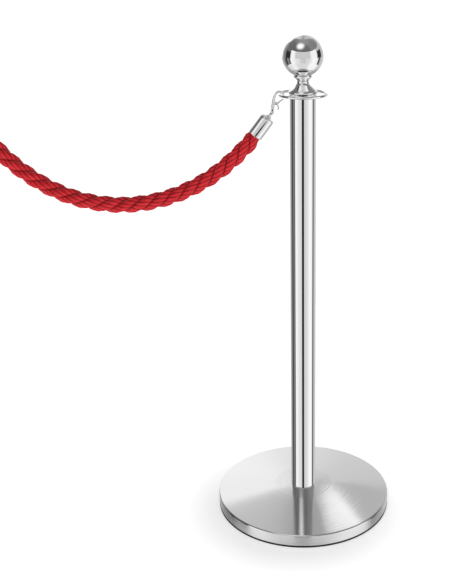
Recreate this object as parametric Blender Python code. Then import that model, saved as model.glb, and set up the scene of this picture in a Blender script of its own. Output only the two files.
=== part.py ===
"""Post-and-rope stanchion: a weighted disc base, a tube, a rope ring under a ball finial, and a
twisted rope with a snap hook at each end.

Metres, +Z up, the origin on the floor under the post. The rope leaves towards -X. Its near hook
hangs on the post's ring, and its far hook is where the next post's ring would be.
"""

import math

import bmesh
import bpy
from mathutils import Matrix, Vector

# Gap kept between pieces that touch.
GAP = 0.0003

# Post.
TUBE_RADIUS = 0.0254
TUBE_WALL = 0.0012
TUBE_FOOT = 0.0420
TUBE_TOP = 0.8820
PLUG_LENGTH = 0.0220

# Base.
BASE_RADIUS = 0.1813
RIM_TOP = 0.0281
RIM_EDGE_RADIUS = 0.0028
COVER_WALL = 0.0012
COVER_CREST_RADIUS = 0.0670
COVER_CREST = 0.0395
FLOOR_RING_HEIGHT = 0.0037
FLOOR_RING_WIDTH = 0.0300
WEIGHT_RADIUS = BASE_RADIUS - 0.0035
WEIGHT_RIM_TOP = 0.0140
WEIGHT_BOSS_RADIUS = 0.0660

# M10 thread that holds the base, and the one that holds the finial.
THREAD_RADIUS = 0.0048
THREAD_HOLE_RADIUS = 0.0052
BOLT_HEAD_RADIUS = 0.0098
BOLT_RECESS_RADIUS = 0.0135

# Rope ring.
RING_HEIGHT = 0.8865
RING_RADIUS = 0.0457
RING_ROD_RADIUS = 0.0027
SPOKE_RADIUS = 0.0022
HUB_BOTTOM = TUBE_TOP + GAP
HUB_TOP = 0.8895

# Finial.
BELL_BOTTOM = HUB_TOP + GAP
NECK_TOP = 0.9123
BALL_RADIUS = 0.0400
BALL_CENTRE = 0.9600
BALL_WALL = 0.0016

# Rope: its route in the XZ plane, from the near ferrule's mouth to the far one's.
ROPE_RADIUS = 0.0166
ROPE_NECK_RADIUS = 0.0138
ROPE_SPACING = 0.024
ROPE_STRAIGHT = 0.0060
ROPE_ROUTE = [
    (-0.0932, 0.8060), (-0.1015, 0.7948), (-0.1135, 0.7812), (-0.1335, 0.7611),
    (-0.1560, 0.7412), (-0.1820, 0.7219), (-0.2110, 0.7044), (-0.2430, 0.6892),
    (-0.2780, 0.6771), (-0.3170, 0.6685), (-0.3580, 0.6650), (-0.3990, 0.6675),
    (-0.4380, 0.6750), (-0.4730, 0.6868), (-0.5050, 0.7023), (-0.5340, 0.7205),
    (-0.5600, 0.7405), (-0.5820, 0.7604), (-0.6012, 0.7809), (-0.6132, 0.7948),
    (-0.6215, 0.8060),
]
ROPE_MIDDLE = (ROPE_ROUTE[0][0] + ROPE_ROUTE[-1][0]) / 2

# Ferrule: its mouth is the start of the route, and its axis rises towards the hook.
FERRULE_ANGLE = math.radians(53.4)
FERRULE_RADIUS = 0.0147
FERRULE_WALL = 0.0010
FERRULE_LENGTH = 0.0485
PIVOT_ALONG_FERRULE = 0.0566

# Snap hook, in the XZ plane at the near end.
EYE_RADIUS = 0.0036
EYE_HALF_WIDTH = 0.0015
CHEEK_THICKNESS = 0.0016
CHEEK_RADIUS = 0.0038
RIVET_RADIUS = 0.0012
HOOK_PATH = [
    (-0.0588, 0.8572), (-0.0582, 0.8610), (-0.0573, 0.8670), (-0.0564, 0.8735),
    (-0.0553, 0.8795), (-0.0532, 0.8850), (-0.0500, 0.8894), (-0.0455, 0.8918),
    (-0.0410, 0.8901), (-0.0382, 0.8866), (-0.0372, 0.8825), (-0.0370, 0.8794),
]
HOOK_RADII = [
    0.0030, 0.0032, 0.0032, 0.0030, 0.0027, 0.0024, 0.0022, 0.0021, 0.0020, 0.0020, 0.0020, 0.0018,
]
GATE_PIVOT = (-0.0495, 0.8680)
GATE_PATH = [
    (-0.0385, 0.8767), (-0.0425, 0.8738), GATE_PIVOT, (-0.0480, 0.8630), (-0.0468, 0.8590),
    (-0.0492, 0.8562),
]
GATE_RADII = [0.0014, 0.0014, 0.0022, 0.0015, 0.0013, 0.0011]
GATE_LOW_SIDE = -0.0013
GATE_HIGH_SIDE = 0.0002
LUG_INNER_SIDE = 0.0016
LUG_OUTER_SIDE = 0.0028
LUG_RADIUS = 0.0026
GATE_PIN_RADIUS = 0.0009
SPRING_WIRE = 0.00025
SPRING_RADIUS = 0.0019

CHROME = (0.80, 0.80, 0.81)
SATIN_STEEL = (0.66, 0.66, 0.67)
PLAIN_STEEL = (0.50, 0.50, 0.51)


def clear_scene():
    for thing in list(bpy.data.objects):
        bpy.data.objects.remove(thing)


def finish_for(name, colour, roughness, metallic):
    """A material of the piece's own."""
    made = bpy.data.materials.new(name)
    made.use_nodes = True
    shader = made.node_tree.nodes["Principled BSDF"]
    shader.inputs["Base Color"].default_value = (*colour, 1.0)
    shader.inputs["Roughness"].default_value = roughness
    shader.inputs["Metallic"].default_value = metallic
    return made


def piece(name, mesh, colour=CHROME, roughness=0.08, metallic=1.0):
    """An object of that mesh, shaded smooth with sharp edges, in a material of its own."""
    made = bpy.data.objects.new(name, mesh)
    bpy.context.scene.collection.objects.link(made)
    mesh.materials.clear()
    mesh.materials.append(finish_for(name, colour, roughness, metallic))
    mesh.shade_smooth()
    mesh.set_sharp_from_angle(angle=math.radians(35))
    return made


def mesh_from(bm, name):
    bmesh.ops.recalc_face_normals(bm, faces=bm.faces)
    mesh = bpy.data.meshes.new(name)
    bm.to_mesh(mesh)
    bm.free()
    return mesh


def turned(name, outline, segments=32):
    """A solid of revolution about Z. The outline is a closed loop of (radius, height) points."""
    bm = bmesh.new()
    rings = []
    for radius, height in outline:
        if radius < 1e-6:
            rings.append([bm.verts.new((0, 0, height))] * segments)
            continue
        angles = [2 * math.pi * k / segments for k in range(segments)]
        rings.append([bm.verts.new((radius * math.cos(a), radius * math.sin(a), height)) for a in angles])
    for ring, following in zip(rings, rings[1:] + rings[:1]):
        for i in range(segments):
            j = (i + 1) % segments
            corners = list(dict.fromkeys([ring[i], ring[j], following[j], following[i]]))
            if len(corners) > 2:
                bm.faces.new(corners)
    return mesh_from(bm, name)


def arc(centre, radius, start, end, steps):
    """Points on an arc, its angles in degrees from the +radius direction towards +height."""
    turns = [math.radians(start + (end - start) * k / steps) for k in range(steps + 1)]
    return [(centre[0] + radius * math.cos(a), centre[1] + radius * math.sin(a)) for a in turns]


def smooth_curve(points, per_span):
    """Points on a Catmull-Rom curve through a list of tuples of any size."""
    points = [Vector(p) for p in points]
    first = points[0] * 2 - points[1]
    last = points[-1] * 2 - points[-2]
    padded = [first, *points, last]
    curve = []
    for a, b, c, d in zip(padded, padded[1:], padded[2:], padded[3:]):
        for k in range(per_span):
            t = k / per_span
            straight = 2 * b + (c - a) * t
            bend = (2 * a - 5 * b + 4 * c - d) * t**2 + (3 * b - a - 3 * c + d) * t**3
            curve.append((straight + bend) / 2)
    return [*curve, points[-1]]


def evenly_spaced(curve, spacing):
    """Points of a dense curve, about that far apart."""
    lengths = [0.0]
    for a, b in zip(curve, curve[1:]):
        lengths.append(lengths[-1] + (b - a).length)
    count = round(lengths[-1] / spacing)
    picked = []
    for k in range(count + 1):
        wanted = lengths[-1] * k / count
        i = max(1, next(n for n, length in enumerate(lengths) if length >= wanted - 1e-9))
        share = (wanted - lengths[i - 1]) / (lengths[i] - lengths[i - 1])
        picked.append(curve[i - 1].lerp(curve[i], share))
    return picked


def side_of(points, i):
    """The unit normal, in the plane, of a line of 2-D points at one of them."""
    along = points[min(i + 1, len(points) - 1)] - points[max(i - 1, 0)]
    return Vector((-along.y, along.x)).normalized()


def swept(name, path, radii, sides=8):
    """A bar of round section along a path of (x, z) points in the XZ plane."""
    points = [Vector(p) for p in path]
    bm = bmesh.new()
    rings = []
    for i, (point, radius) in enumerate(zip(points, radii)):
        normal = side_of(points, i)
        ring = []
        for k in range(sides):
            turn = 2 * math.pi * (k + 0.5) / sides
            out = point + normal * radius * math.cos(turn)
            ring.append(bm.verts.new((out.x, radius * math.sin(turn), out.y)))
        rings.append(ring)
    for ring, following in zip(rings, rings[1:]):
        for i in range(sides):
            j = (i + 1) % sides
            bm.faces.new([ring[i], ring[j], following[j], following[i]])
    bm.faces.new(rings[0])
    bm.faces.new(rings[-1])
    return mesh_from(bm, name)


def plate(name, path, radii, low, high, cap_steps=4):
    """A flat plate from y=low to y=high, as wide as the radii along a path, with round ends."""
    points = [Vector(p) for p in path]
    left = [p + side_of(points, i) * r for i, (p, r) in enumerate(zip(points, radii))]
    right = [p - side_of(points, i) * r for i, (p, r) in enumerate(zip(points, radii))]

    def cap(centre, start):
        """The points of a half turn about an end, from the point that is given."""
        arm = start - centre
        turns = [-math.pi * k / cap_steps for k in range(1, cap_steps)]
        return [centre + Matrix.Rotation(a, 2) @ arm for a in turns]

    outline = left + cap(points[-1], left[-1]) + right[::-1] + cap(points[0], right[0])
    bm = bmesh.new()
    face = bm.faces.new([bm.verts.new((p.x, low, p.y)) for p in outline])
    grown = bmesh.ops.extrude_face_region(bm, geom=[face])["geom"]
    moved = [v for v in grown if isinstance(v, bmesh.types.BMVert)]
    bmesh.ops.translate(bm, verts=moved, vec=(0, high - low, 0))
    return mesh_from(bm, name)


def cylinder(name, radius, low, high, segments=12):
    """A solid cylinder about Z."""
    return turned(name, [(0, low), (radius, low), (radius, high), (0, high)], segments)


def rod_across(name, centre, radius, low, high, segments=12):
    """A solid cylinder along Y through the (x, z) centre."""
    mesh = cylinder(name, radius, low, high, segments)
    lay = Matrix.Translation((centre[0], 0, centre[1])) @ Matrix.Rotation(math.radians(-90), 4, "X")
    mesh.transform(lay)
    return mesh


def combined(mesh, others, operation):
    """The mesh joined to, or cut by, the others with Boolean modifiers that are applied."""
    body = bpy.data.objects.new(mesh.name, mesh)
    bpy.context.scene.collection.objects.link(body)
    helpers = []
    for other in others:
        helper = bpy.data.objects.new("helper", other)
        bpy.context.scene.collection.objects.link(helper)
        helper.hide_render = True
        helper.display_type = "WIRE"
        change = body.modifiers.new("change", "BOOLEAN")
        change.operation = operation
        change.object = helper
        helpers.append(helper)
    bpy.context.view_layer.update()
    made = bpy.data.meshes.new_from_object(body.evaluated_get(bpy.context.evaluated_depsgraph_get()))
    made.name = mesh.name
    for thing in [body, *helpers]:
        bpy.data.objects.remove(thing)
    return made


def base_pieces():
    """The weight, its spun cover, the rubber ring on the floor, and the bolt that clamps the tube."""
    crest = [(0.058, COVER_CREST + 0.0008), (THREAD_HOLE_RADIUS + 0.001, TUBE_FOOT - GAP)]
    edge = (BASE_RADIUS - RIM_EDGE_RADIUS, RIM_TOP - RIM_EDGE_RADIUS)
    outer = [(BASE_RADIUS, FLOOR_RING_HEIGHT + GAP)]
    outer += arc(edge, RIM_EDGE_RADIUS, 0, 84, 4)
    outer += [(COVER_CREST_RADIUS, COVER_CREST), *crest]
    inner = [(r, z - COVER_WALL) for r, z in reversed([(COVER_CREST_RADIUS, COVER_CREST), *crest])]
    inner += arc(edge, RIM_EDGE_RADIUS - COVER_WALL, 84, 0, 3)
    inner += [(BASE_RADIUS - COVER_WALL, FLOOR_RING_HEIGHT + GAP)]
    cover = turned("base_cover", outer + inner, 64)
    piece("base_cover", cover, SATIN_STEEL, roughness=0.22)

    bottom = FLOOR_RING_HEIGHT + GAP
    recess = 0.0155
    under_cover = COVER_CREST - COVER_WALL - 0.0010
    outline = [
        (THREAD_HOLE_RADIUS, recess),
        (BOLT_RECESS_RADIUS, recess),
        (BOLT_RECESS_RADIUS, bottom),
        (WEIGHT_RADIUS, bottom),
        (WEIGHT_RADIUS, WEIGHT_RIM_TOP),
        (WEIGHT_BOSS_RADIUS + 0.012, 0.0190),
        (WEIGHT_BOSS_RADIUS, under_cover),
        (THREAD_HOLE_RADIUS, under_cover + 0.0010),
    ]
    weight = turned("base_weight", outline, 48)
    piece("base_weight", weight, (0.06, 0.06, 0.06), roughness=0.6, metallic=0.6)

    inside = BASE_RADIUS - FLOOR_RING_WIDTH
    outside = BASE_RADIUS - 0.0006
    outline = [(inside, 0), (outside, 0), (outside, FLOOR_RING_HEIGHT), (inside, FLOOR_RING_HEIGHT)]
    ring = turned("floor_ring", outline, 64)
    piece("floor_ring", ring, (0.012, 0.012, 0.012), roughness=0.55, metallic=0.0)

    washer_top = recess - GAP
    outline = [
        (THREAD_HOLE_RADIUS, washer_top - 0.0018), (0.0100, washer_top - 0.0018),
        (0.0100, washer_top), (THREAD_HOLE_RADIUS, washer_top),
    ]
    piece("base_washer", turned("base_washer", outline, 24), PLAIN_STEEL, roughness=0.35)
    head_top = washer_top - 0.0018 - GAP
    head = cylinder("base_bolt", BOLT_HEAD_RADIUS, head_top - 0.0063, head_top, 6)
    shank = cylinder("shank", THREAD_RADIUS, head_top - 0.0020, TUBE_FOOT + 0.0280, 12)
    piece("base_bolt", combined(head, [shank], "UNION"), PLAIN_STEEL, roughness=0.35)


def threaded_plug(name, low, high):
    """A steel plug in the tube, with a threaded hole for the M10."""
    radius = TUBE_RADIUS - TUBE_WALL - GAP
    chamfer = 0.0008
    outline = [
        (THREAD_HOLE_RADIUS, low), (radius - chamfer, low), (radius, low + chamfer),
        (radius, high - chamfer), (radius - chamfer, high), (THREAD_HOLE_RADIUS, high),
    ]
    piece(name, turned(name, outline, 24), PLAIN_STEEL, roughness=0.4)


def post_pieces():
    """The tube, and the plugs in its ends that take the bolt and the finial's stud."""
    bore = TUBE_RADIUS - TUBE_WALL
    outline = [(bore, TUBE_FOOT), (TUBE_RADIUS, TUBE_FOOT), (TUBE_RADIUS, TUBE_TOP), (bore, TUBE_TOP)]
    piece("post_tube", turned("post_tube", outline, 40), CHROME, roughness=0.05)
    threaded_plug("tube_foot_plug", TUBE_FOOT + GAP, TUBE_FOOT + PLUG_LENGTH)
    threaded_plug("tube_top_plug", TUBE_TOP - PLUG_LENGTH, TUBE_TOP - GAP)


def rope_ring():
    """The ring that the hooks hang on: a hub on the tube, four spokes and a round rod."""
    hub = [
        (THREAD_HOLE_RADIUS, HUB_BOTTOM), (TUBE_RADIUS, HUB_BOTTOM),
        (TUBE_RADIUS, HUB_TOP), (THREAD_HOLE_RADIUS, HUB_TOP),
    ]
    rod = arc((RING_RADIUS, RING_HEIGHT), RING_ROD_RADIUS, 0, 360, 8)[:-1]
    added = [turned("rod", rod, 48)]
    for k in range(4):
        spoke = cylinder("spoke", SPOKE_RADIUS, TUBE_RADIUS - 0.004, RING_RADIUS, 8)
        spoke.transform(Matrix.Rotation(math.radians(90), 4, "Y"))
        spoke.transform(Matrix.Rotation(math.radians(45 + 90 * k), 4, "Z"))
        spoke.transform(Matrix.Translation((0, 0, RING_HEIGHT)))
        added.append(spoke)
    whole = combined(turned("rope_ring", hub, 40), added, "UNION")
    piece("rope_ring", whole, CHROME, roughness=0.06)


def ball_surface(radius):
    """Height of the ball's underside at that radius from its axis."""
    return BALL_CENTRE - math.sqrt(BALL_RADIUS**2 - radius**2)


def finial_pieces():
    """The trumpet bell, the collar that cups the ball, the hollow ball, and the stud inside them."""
    flare = [
        (0.0280, BELL_BOTTOM), (0.0283, 0.8906), (0.0276, 0.8926), (0.0252, 0.8952),
        (0.0216, 0.8982), (0.0182, 0.9010), (0.0154, 0.9036), (0.0134, 0.9060),
        (0.0120, 0.9084), (0.0115, 0.9106), (0.0115, NECK_TOP),
    ]
    outline = [(THREAD_HOLE_RADIUS, BELL_BOTTOM), *flare, (THREAD_HOLE_RADIUS, NECK_TOP)]
    piece("finial_bell", turned("finial_bell", outline, 28), CHROME, roughness=0.05)

    bottom = NECK_TOP + GAP
    bead = [
        (0.0114, bottom), (0.0126, 0.9144), (0.0146, 0.9164), (0.0166, 0.9184),
        (0.0180, 0.9206), (0.0183, 0.9222), (0.0176, 0.9234),
    ]
    seat = [(r, ball_surface(r) - 1.5 * GAP) for r in (0.0165, 0.0110, THREAD_HOLE_RADIUS)]
    outline = [(THREAD_HOLE_RADIUS, bottom), *bead, *seat]
    piece("finial_collar", turned("finial_collar", outline, 28), CHROME, roughness=0.05)

    mouth = math.degrees(math.asin(THREAD_HOLE_RADIUS / BALL_RADIUS)) - 90
    outer = arc((0, BALL_CENTRE), BALL_RADIUS, mouth, 90, 12)
    inner = arc((0, BALL_CENTRE), BALL_RADIUS - BALL_WALL, 90, mouth, 8)
    shell = [*outer[:-1], (0, outer[-1][1]), (0, inner[0][1]), *inner[1:]]
    piece("finial_ball", turned("finial_ball", shell, 28), CHROME, roughness=0.04)

    stud = cylinder("finial_stud", THREAD_RADIUS, TUBE_TOP - 0.016, BALL_CENTRE - 0.020, 12)
    piece("finial_stud", stud, PLAIN_STEEL, roughness=0.35)


def rope_solid(near_end, far_end, straight):
    """The free length of the rope as a plain tube that runs straight and narrow into each ferrule."""
    route = [Vector((x, 0, z)) for x, z in ROPE_ROUTE]
    middle = evenly_spaced(smooth_curve(route, 12), ROPE_SPACING)[1:-1]
    near_out = near_end - straight
    far_out = far_end + Vector((straight.x, 0, -straight.z))
    points = [near_end, near_out, *middle, far_out, far_end]
    data = bpy.data.curves.new("rope", "CURVE")
    data.dimensions = "3D"
    data.bevel_depth = ROPE_RADIUS
    data.bevel_resolution = 4
    data.use_fill_caps = True
    spline = data.splines.new("POLY")
    spline.points.add(len(points) - 1)
    for place, point in zip(spline.points, points):
        place.co = (*point, 1.0)
    for i in (0, -1):
        spline.points[i].radius = ROPE_NECK_RADIUS / ROPE_RADIUS
    rope = bpy.data.objects.new("rope", data)
    bpy.context.scene.collection.objects.link(rope)
    data.materials.append(finish_for("rope", (0.62, 0.01, 0.02), 0.7, 0.0))
    return rope


def ferrule_pieces():
    """What is on the ferrule's axis, about Z with the mouth at the origin: node name to mesh."""
    nose = [
        (FERRULE_RADIUS, 0.0355), (0.0142, 0.0380), (0.0125, 0.0402), (0.0095, 0.0420),
        (0.0065, 0.0436), (0.0046, 0.0458), (0.0038, FERRULE_LENGTH),
    ]
    bore = 0.0032
    inside = [
        (bore, FERRULE_LENGTH), (bore, 0.0405), (0.0090, 0.0402), (0.0120, 0.0385),
        (FERRULE_RADIUS - FERRULE_WALL, 0.0350), (FERRULE_RADIUS - FERRULE_WALL, 0),
    ]
    shell = turned("ferrule", [(FERRULE_RADIUS, 0), *nose, *inside], 28)
    screw_height = 0.0120
    screw_hole = 0.0018
    drill = cylinder("drill", screw_hole, FERRULE_RADIUS - 0.005, FERRULE_RADIUS + 0.005, 12)
    across = Matrix.Translation((0, 0, screw_height)) @ Matrix.Rotation(math.radians(-90), 4, "X")
    drill.transform(across)
    shell = combined(shell, [drill], "DIFFERENCE")

    core_radius = FERRULE_RADIUS - FERRULE_WALL - GAP
    core = cylinder("rope_end", core_radius, GAP, 0.0300, 20)
    pocket = cylinder("pocket", screw_hole, core_radius - 0.004, core_radius + 0.004, 12)
    pocket.transform(across)
    core = combined(core, [pocket], "DIFFERENCE")
    screw = cylinder("screw", screw_hole - GAP, core_radius - 0.0035, FERRULE_RADIUS - 0.0002, 10)
    screw.transform(across)

    nut = cylinder("nut", 0.0056, 0.0340, 0.0398, 6)
    nut_bore = cylinder("bore", bore, 0.030, 0.045, 12)
    nut = combined(nut, [nut_bore], "DIFFERENCE")
    return {"ferrule": shell, "rope_end": core, "grub_screw": screw, "stud_nut": nut}


def eye_stud_mesh(pivot, rise, axis):
    """The stud through the ferrule's nose, flattened into the eye that the hook's rivet goes through."""
    shoulder = CHEEK_RADIUS + 2 * GAP
    stud = cylinder("eye_stud", 0.0028, 0.0320 - PIVOT_ALONG_FERRULE, -shoulder, 12)
    stud.transform(Matrix.Translation(pivot) @ axis)
    root = pivot - rise * (shoulder + 0.0010)
    tongue = [(root.x, root.z), (pivot.x, pivot.z)]
    eye = plate("eye", tongue, (0.0022, EYE_RADIUS), -EYE_HALF_WIDTH, EYE_HALF_WIDTH, 8)
    hole = rod_across("hole", (pivot.x, pivot.z), RIVET_RADIUS + GAP, -0.01, 0.01, 12)
    return combined(combined(stud, [eye], "UNION"), [hole], "DIFFERENCE")


def hook_meshes(pivot):
    """The snap hook's pieces, in the XZ plane at the near end: node name to mesh."""
    hinge = (pivot.x, pivot.z)
    path = smooth_curve([(*p, r) for p, r in zip(HOOK_PATH, HOOK_RADII)], 2)
    bar = swept("hook", [(p[0], p[1]) for p in path], [p[2] for p in path], 10)
    inner = EYE_HALF_WIDTH + GAP
    outer = inner + CHEEK_THICKNESS
    joined = []
    for sign in (-1, 1):
        low, high = sorted((sign * inner, sign * outer))
        fork = [hinge, (-0.0585, 0.8605)]
        joined.append(plate("fork", fork, (CHEEK_RADIUS, 0.0030), low, high))
        low, high = sorted((sign * LUG_INNER_SIDE, sign * LUG_OUTER_SIDE))
        lug = [(-0.0568, 0.8690), GATE_PIVOT]
        joined.append(plate("lug", lug, (LUG_RADIUS, LUG_RADIUS), low, high))
    body = combined(bar, joined, "UNION")
    slot = [(GATE_PIVOT[0], GATE_PIVOT[1] - 0.008), (GATE_PIVOT[0], GATE_PIVOT[1] + 0.006)]
    cuts = [
        rod_across("hole", hinge, RIVET_RADIUS + GAP, -0.01, 0.01, 12),
        rod_across("hole", GATE_PIVOT, GATE_PIN_RADIUS + GAP, -0.01, 0.01, 12),
        plate("slot", slot, (0.0032, 0.0032), -LUG_INNER_SIDE, LUG_INNER_SIDE),
    ]
    body = combined(body, cuts, "DIFFERENCE")

    gate = plate("gate", GATE_PATH, GATE_RADII, GATE_LOW_SIDE, GATE_HIGH_SIDE)
    gate_hole = rod_across("hole", GATE_PIVOT, GATE_PIN_RADIUS + GAP, -0.01, 0.01, 12)
    gate = combined(gate, [gate_hole], "DIFFERENCE")

    head = outer + GAP
    rivet = rod_across("rivet", hinge, RIVET_RADIUS, -head - 0.0002, head + 0.0002, 12)
    heads = [
        rod_across("head", hinge, 0.0024, head, head + 0.0008, 16),
        rod_across("head", hinge, 0.0024, -head - 0.0008, -head, 16),
    ]
    pin_end = LUG_OUTER_SIDE - GAP
    return {
        "hook": body,
        "gate": gate,
        "hook_rivet": combined(rivet, heads, "UNION"),
        "gate_pin": rod_across("pin", GATE_PIVOT, GATE_PIN_RADIUS, -pin_end, pin_end, 12),
        "gate_spring": spring_mesh(),
    }


def spring_mesh():
    """The torsion spring beside the gate: a turn and a half round its pin, with two short legs."""
    turns = 1.5
    steps = 18
    rise = 0.0007
    start = math.radians(30)
    path = []
    for k in range(steps + 1):
        angle = start + 2 * math.pi * turns * k / steps
        y = GATE_HIGH_SIDE + 0.0004 + rise * k / steps
        x = GATE_PIVOT[0] + SPRING_RADIUS * math.cos(angle)
        path.append(Vector((x, y, GATE_PIVOT[1] + SPRING_RADIUS * math.sin(angle))))
    leg = 0.0030
    entry = (path[0] - path[1]).normalized() * leg
    leave = (path[-1] - path[-2]).normalized() * leg
    path = [path[0] + entry, *path, path[-1] + leave]
    data = bpy.data.curves.new("gate_spring", "CURVE")
    data.dimensions = "3D"
    data.bevel_depth = SPRING_WIRE
    data.bevel_resolution = 0
    data.use_fill_caps = True
    spline = data.splines.new("POLY")
    spline.points.add(len(path) - 1)
    for place, point in zip(spline.points, path):
        place.co = (*point, 1.0)
    coil = bpy.data.objects.new("gate_spring", data)
    bpy.context.scene.collection.objects.link(coil)
    bpy.context.view_layer.update()
    mesh = bpy.data.meshes.new_from_object(coil.evaluated_get(bpy.context.evaluated_depsgraph_get()))
    bpy.data.objects.remove(coil)
    return mesh


def joint_empty(name, place, parent=None):
    """An empty on a joint's axis, for what moves with that joint."""
    empty = bpy.data.objects.new(name, None)
    bpy.context.scene.collection.objects.link(empty)
    if parent is None:
        empty.location = place
    else:
        empty.parent = parent
        empty.location = Vector(place) - parent.matrix_world.translation
    bpy.context.view_layer.update()
    return empty


def hang(thing, empty, world=Matrix.Identity(4)):
    """Parents the thing to the empty, and puts it at that place in the world."""
    thing.parent = empty
    thing.matrix_parent_inverse = empty.matrix_world.inverted()
    thing.matrix_basis = world


def rope_and_hooks():
    """The rope with its two ends. The far end is the near one turned half round about the middle."""
    mouth = Vector((ROPE_ROUTE[0][0], 0, ROPE_ROUTE[0][1]))
    rise = Vector((math.cos(FERRULE_ANGLE), 0, math.sin(FERRULE_ANGLE)))
    axis = Matrix.Rotation(math.radians(90) - FERRULE_ANGLE, 4, "Y")
    pivot = mouth + rise * PIVOT_ALONG_FERRULE
    half_turn = Matrix.Translation((2 * ROPE_MIDDLE, 0, 0)) @ Matrix.Rotation(math.pi, 4, "Z")
    gate_pivot = Vector((GATE_PIVOT[0], 0, GATE_PIVOT[1]))

    slide = joint_empty("hook_slide", (0, 0, RING_HEIGHT))
    tilt = joint_empty("rope_tilt", pivot, slide)
    far_tilt = joint_empty("far_hook_tilt", half_turn @ pivot, tilt)
    gate_swings = {
        "near": joint_empty("near_gate_swing", gate_pivot, slide),
        "far": joint_empty("far_gate_swing", half_turn @ gate_pivot, far_tilt),
    }
    hook_parents = {"near": slide, "far": far_tilt}
    places = {"near": Matrix.Identity(4), "far": half_turn}

    along_axis = ferrule_pieces()
    in_plane = hook_meshes(pivot)
    eye_stud = eye_stud_mesh(pivot, rise, axis)
    looks = {"grub_screw": 0.3, "stud_nut": 0.35, "gate_spring": 0.25}
    for end in ("near", "far"):
        world = places[end]
        for kind, mesh in along_axis.items():
            name = f"{end}_{kind}"
            if kind == "rope_end":
                made = piece(name, mesh.copy(), (0.45, 0.01, 0.02), roughness=0.8, metallic=0.0)
            else:
                made = piece(name, mesh.copy(), CHROME, looks.get(kind, 0.06))
            hang(made, tilt, world @ Matrix.Translation(mouth) @ axis)
        hang(piece(f"{end}_eye_stud", eye_stud.copy(), CHROME, 0.08), tilt, world)
        for kind, mesh in in_plane.items():
            parent = gate_swings[end] if kind == "gate" else hook_parents[end]
            made = piece(f"{end}_{kind}", mesh.copy(), CHROME, looks.get(kind, 0.08))
            hang(made, parent, world)

    near_start = mouth - rise * GAP
    far_start = half_turn @ near_start
    hang(rope_solid(near_start, far_start, rise * ROPE_STRAIGHT), tilt)


def main():
    clear_scene()
    base_pieces()
    post_pieces()
    rope_ring()
    finial_pieces()
    rope_and_hooks()


main()
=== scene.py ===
"""The looks of a post-and-rope stanchion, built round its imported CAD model.

The CAD fixes every size and place. This script adds the twisted rope, fine surfaces for the
polished pieces, materials, the floor and the studio that the polished metal mirrors.
"""

import math

import bmesh
import bpy
from mathutils import Matrix, Vector


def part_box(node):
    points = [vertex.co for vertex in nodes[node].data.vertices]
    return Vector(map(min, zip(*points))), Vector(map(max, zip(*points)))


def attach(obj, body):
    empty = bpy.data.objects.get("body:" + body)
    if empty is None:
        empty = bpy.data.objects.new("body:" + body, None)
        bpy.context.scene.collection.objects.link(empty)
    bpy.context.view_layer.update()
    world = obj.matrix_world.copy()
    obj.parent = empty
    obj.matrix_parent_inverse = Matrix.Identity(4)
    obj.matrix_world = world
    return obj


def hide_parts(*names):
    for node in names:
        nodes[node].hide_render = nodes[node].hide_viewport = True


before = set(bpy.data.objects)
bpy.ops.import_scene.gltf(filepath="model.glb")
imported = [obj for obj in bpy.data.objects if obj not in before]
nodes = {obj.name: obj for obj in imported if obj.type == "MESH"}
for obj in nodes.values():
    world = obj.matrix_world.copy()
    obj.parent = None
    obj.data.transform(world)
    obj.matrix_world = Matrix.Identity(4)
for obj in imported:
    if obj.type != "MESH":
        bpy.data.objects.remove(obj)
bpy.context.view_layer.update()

# Camera: a 64 mm lens on a 36 mm sensor, 2 m in front of the post and looking down on it.
LENS = 64.375
CAMERA_PLACE = (0.0, -1.9935, 1.2413)
CAMERA_PITCH = 0.2979
CAMERA_YAW = 0.0128
CAMERA_ROLL = -0.0046
CAMERA_SHIFT = (-0.11, -0.12)

# The rope's route in the XZ plane, from the near ferrule's mouth to the far one's.
ROPE_ROUTE = [
    (-0.0932, 0.8060), (-0.1015, 0.7948), (-0.1135, 0.7812), (-0.1335, 0.7611),
    (-0.1560, 0.7412), (-0.1820, 0.7219), (-0.2110, 0.7044), (-0.2430, 0.6892),
    (-0.2780, 0.6771), (-0.3170, 0.6685), (-0.3580, 0.6650), (-0.3990, 0.6675),
    (-0.4380, 0.6750), (-0.4730, 0.6868), (-0.5050, 0.7023), (-0.5340, 0.7205),
    (-0.5600, 0.7405), (-0.5820, 0.7604), (-0.6012, 0.7809), (-0.6132, 0.7948),
    (-0.6215, 0.8060),
]
ROPE_MIDDLE = (ROPE_ROUTE[0][0] + ROPE_ROUTE[-1][0]) / 2

# Rope make-up: strands laid round the rope's axis, and soft yarns laid back the other way in each.
STRANDS = 3
LAY_LENGTH = 0.102
STRAND_OFFSET = 0.0069
STRAND_RADIUS = 0.0098
YARNS = 7
YARN_TWIST = -130.0
YARN_GROOVE = 0.0022
ROPE_STEP = 0.0016
STRAND_SIDES = 80
NECK_LENGTH = 0.012
NECK_SCALE = 0.82

# Ferrule: its mouth is the start of the route, and its axis rises towards the hook.
FERRULE_ANGLE = math.radians(53.4)
FERRULE_RADIUS = 0.0147
FERRULE_WALL = 0.0010
FERRULE_LENGTH = 0.0485
PIVOT_ALONG_FERRULE = 0.0566
GRUB_SCREW_HEIGHT = 0.0120
GRUB_SCREW_RADIUS = 0.0015
GRUB_SCREW_HOLE = 0.0018

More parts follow.
